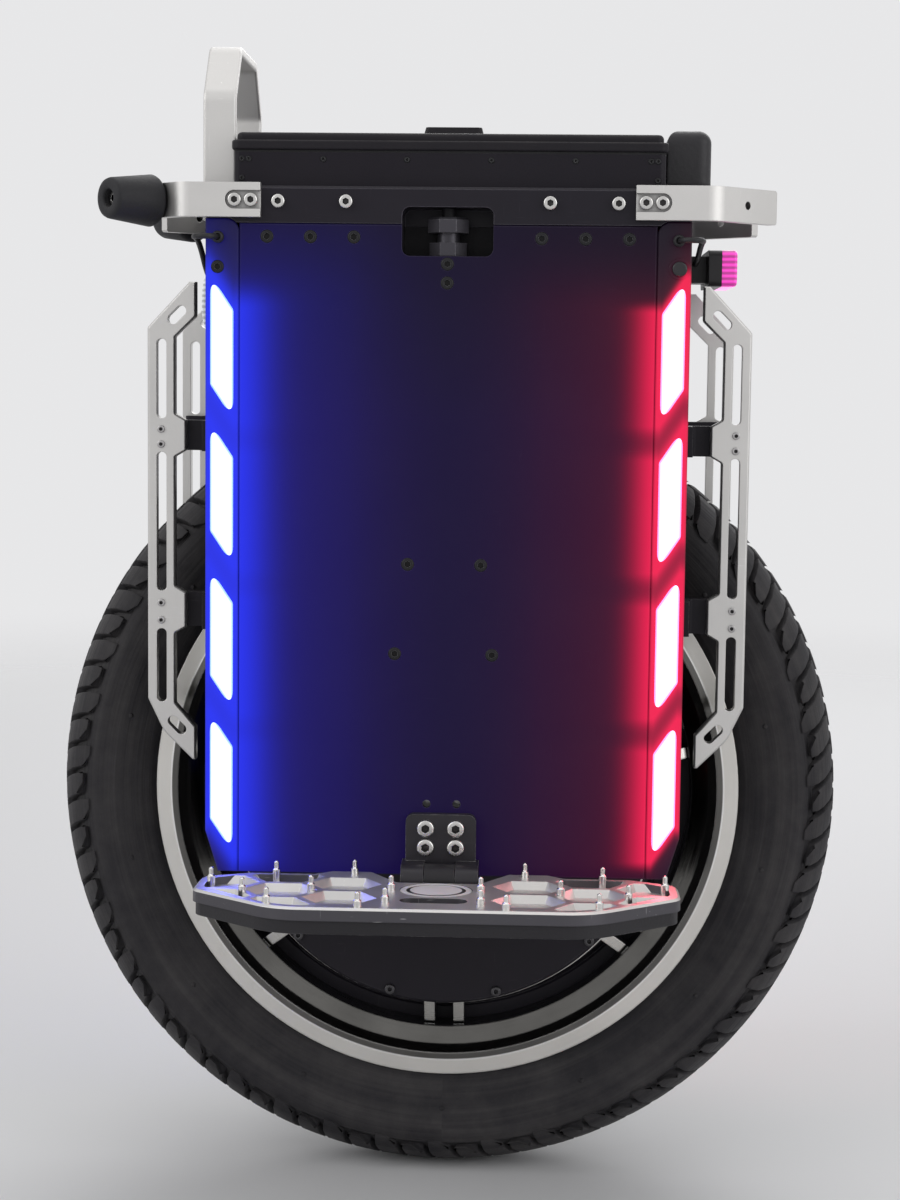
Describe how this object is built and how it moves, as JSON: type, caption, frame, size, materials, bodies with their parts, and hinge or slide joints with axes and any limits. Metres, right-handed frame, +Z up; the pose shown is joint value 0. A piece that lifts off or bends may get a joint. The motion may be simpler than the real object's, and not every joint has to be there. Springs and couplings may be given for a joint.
{
  "type": "electric unicycle",
  "caption": "Electric unicycle: a driven wheel between two battery cases, with folding studded pedals, light posts, corner arms, a grab handle and a lidded controller box.",
  "frame": {"origin": "on the ground under the axle, in the wheel's middle plane", "axes": "+X to the rear (red lights), -X to the front (blue lights and bumpers), +Y to the machine's right side, +Z up"},
  "size_m": [0.512, 0.4362, 0.7329],
  "materials": {
    "tyre_rubber": "matt moulded rubber",
    "rim_alloy": "cast alloy, satin",
    "black_rubber": "matt rubber",
    "black_metal": "black powder coat",
    "screw_steel": "zinc plated",
    "bolt_steel": "bright plated",
    "black_screw": "black oxide",
    "magnet": "nickel plated",
    "core_iron": "laminated sheet",
    "winding_copper": "enamelled wire",
    "frame_alloy": "milled",
    "case_plastic": "fine moulded grain",
    "panel_plastic": "fine satin grain",
    "post_plastic": "fine satin grain",
    "battery_wrap": "heat-shrink wrap",
    "knob_alloy": "anodised",
    "lens_blue": "frosted diffuser, lit blue",
    "lens_red": "frosted diffuser, lit red",
    "tail_lens": "ribbed diffuser, lit red",
    "head_lens": "clear",
    "circuit_board": "solder mask",
    "button_plastic": "satin",
    "rail_metal": "black anodised",
    "box_plastic": "moulded grain",
    "lid_plastic": "moulded grain",
    "arm_alloy": "bead blasted",
    "handle_alloy": "brushed",
    "guard_alloy": "satin",
    "bumper_rubber": "moulded",
    "block_rubber": "moulded",
    "lamp_plastic": "moulded",
    "hanger_metal": "black powder coat",
    "pedal_alloy": "machined",
    "pedal_black": "black powder coat",
    "stud_steel": "bright"
  },
  "bodies": {
    "chassis": {"axle": "screw_steel", "axle_blocks": "frame_alloy", "battery_packs": "battery_wrap", "bumper_arms_front": "arm_alloy", "bumper_arms_rear": "arm_alloy", "case_screws": "black_screw", "charge_socket": "black_rubber", "controller_board": "circuit_board", "cowls": "case_plastic", "frame_bolts": "bolt_steel", "guard_links": "black_metal", "guard_screws": "screw_steel", "guards_front": "guard_alloy", "guards_rear": "guard_alloy", "handle": "handle_alloy", "hanger_bolts": "bolt_steel", "hangers": "hanger_metal", "head_light_housing": "lamp_plastic", "head_light_lenses": "head_lens", "heat_sink": "frame_alloy", "hinge_pins": "screw_steel", "latch_cups": "case_plastic", "lid_seal": "black_rubber", "light_boards": "circuit_board", "light_leads": "black_rubber", "light_lenses_front": "lens_blue", "light_lenses_rear": "lens_red", "light_posts_front": "post_plastic", "light_posts_rear": "post_plastic", "mudguard": "case_plastic", "rear_block": "block_rubber", "rubber_bumpers": "bumper_rubber", "side_cases": "case_plastic", "side_panel_left": "panel_plastic", "side_panel_right": "panel_plastic", "stator_core": "core_iron", "stator_windings": "winding_copper", "tail_light_housing": "lamp_plastic", "tail_light_lens": "tail_lens", "top_box": "box_plastic", "top_frame": "rail_metal", "top_lid": "lid_plastic", "top_rails": "rail_metal"},
    "wheel": {"tyre": "tyre_rubber", "rim": "rim_alloy", "tyre_valve": "black_rubber", "motor_covers": "black_metal", "motor_cover_screws": "screw_steel", "magnet_ring": "magnet", "wheel_bearings": "screw_steel"},
    "pedal_left": {"pedal_plate_left": "pedal_alloy", "pedal_base_left": "pedal_black", "pedal_studs_left": "stud_steel"},
    "pedal_right": {"pedal_plate_right": "pedal_alloy", "pedal_base_right": "pedal_black", "pedal_studs_right": "stud_steel"},
    "latch_knob_left": {"latch_knob_left": "knob_alloy"},
    "latch_knob_right": {"latch_knob_right": "knob_alloy"},
    "power_button": {"power_button": "button_plastic"}
  },
  "joints": [
    {"name": "wheel_spin", "type": "hinge", "parent": "chassis", "child": "wheel", "pos_m": [0, 0, 0.256], "axis": [0, 1, 0], "continuous": true},
    {"name": "pedal_left_fold", "type": "hinge", "parent": "chassis", "child": "pedal_left", "pos_m": [0, -0.112, 0.214], "axis": [-1, 0, 0], "range_deg": [0, 80]},
    {"name": "pedal_right_fold", "type": "hinge", "parent": "chassis", "child": "pedal_right", "pos_m": [0, 0.112, 0.214], "axis": [1, 0, 0], "range_deg": [0, 80]},
    {"name": "latch_left_turn", "type": "hinge", "parent": "chassis", "child": "latch_knob_left", "pos_m": [0, -0.0835, 0.61], "axis": [0, 0, 1], "continuous": true},
    {"name": "latch_right_turn", "type": "hinge", "parent": "chassis", "child": "latch_knob_right", "pos_m": [0, 0.0835, 0.61], "axis": [0, 0, 1], "continuous": true},
    {"name": "power_press", "type": "slide", "parent": "chassis", "child": "power_button", "axis": [0, 1, 0], "range_m": [0, 0.0015], "stiffness_N_per_m": 400}
  ]
}
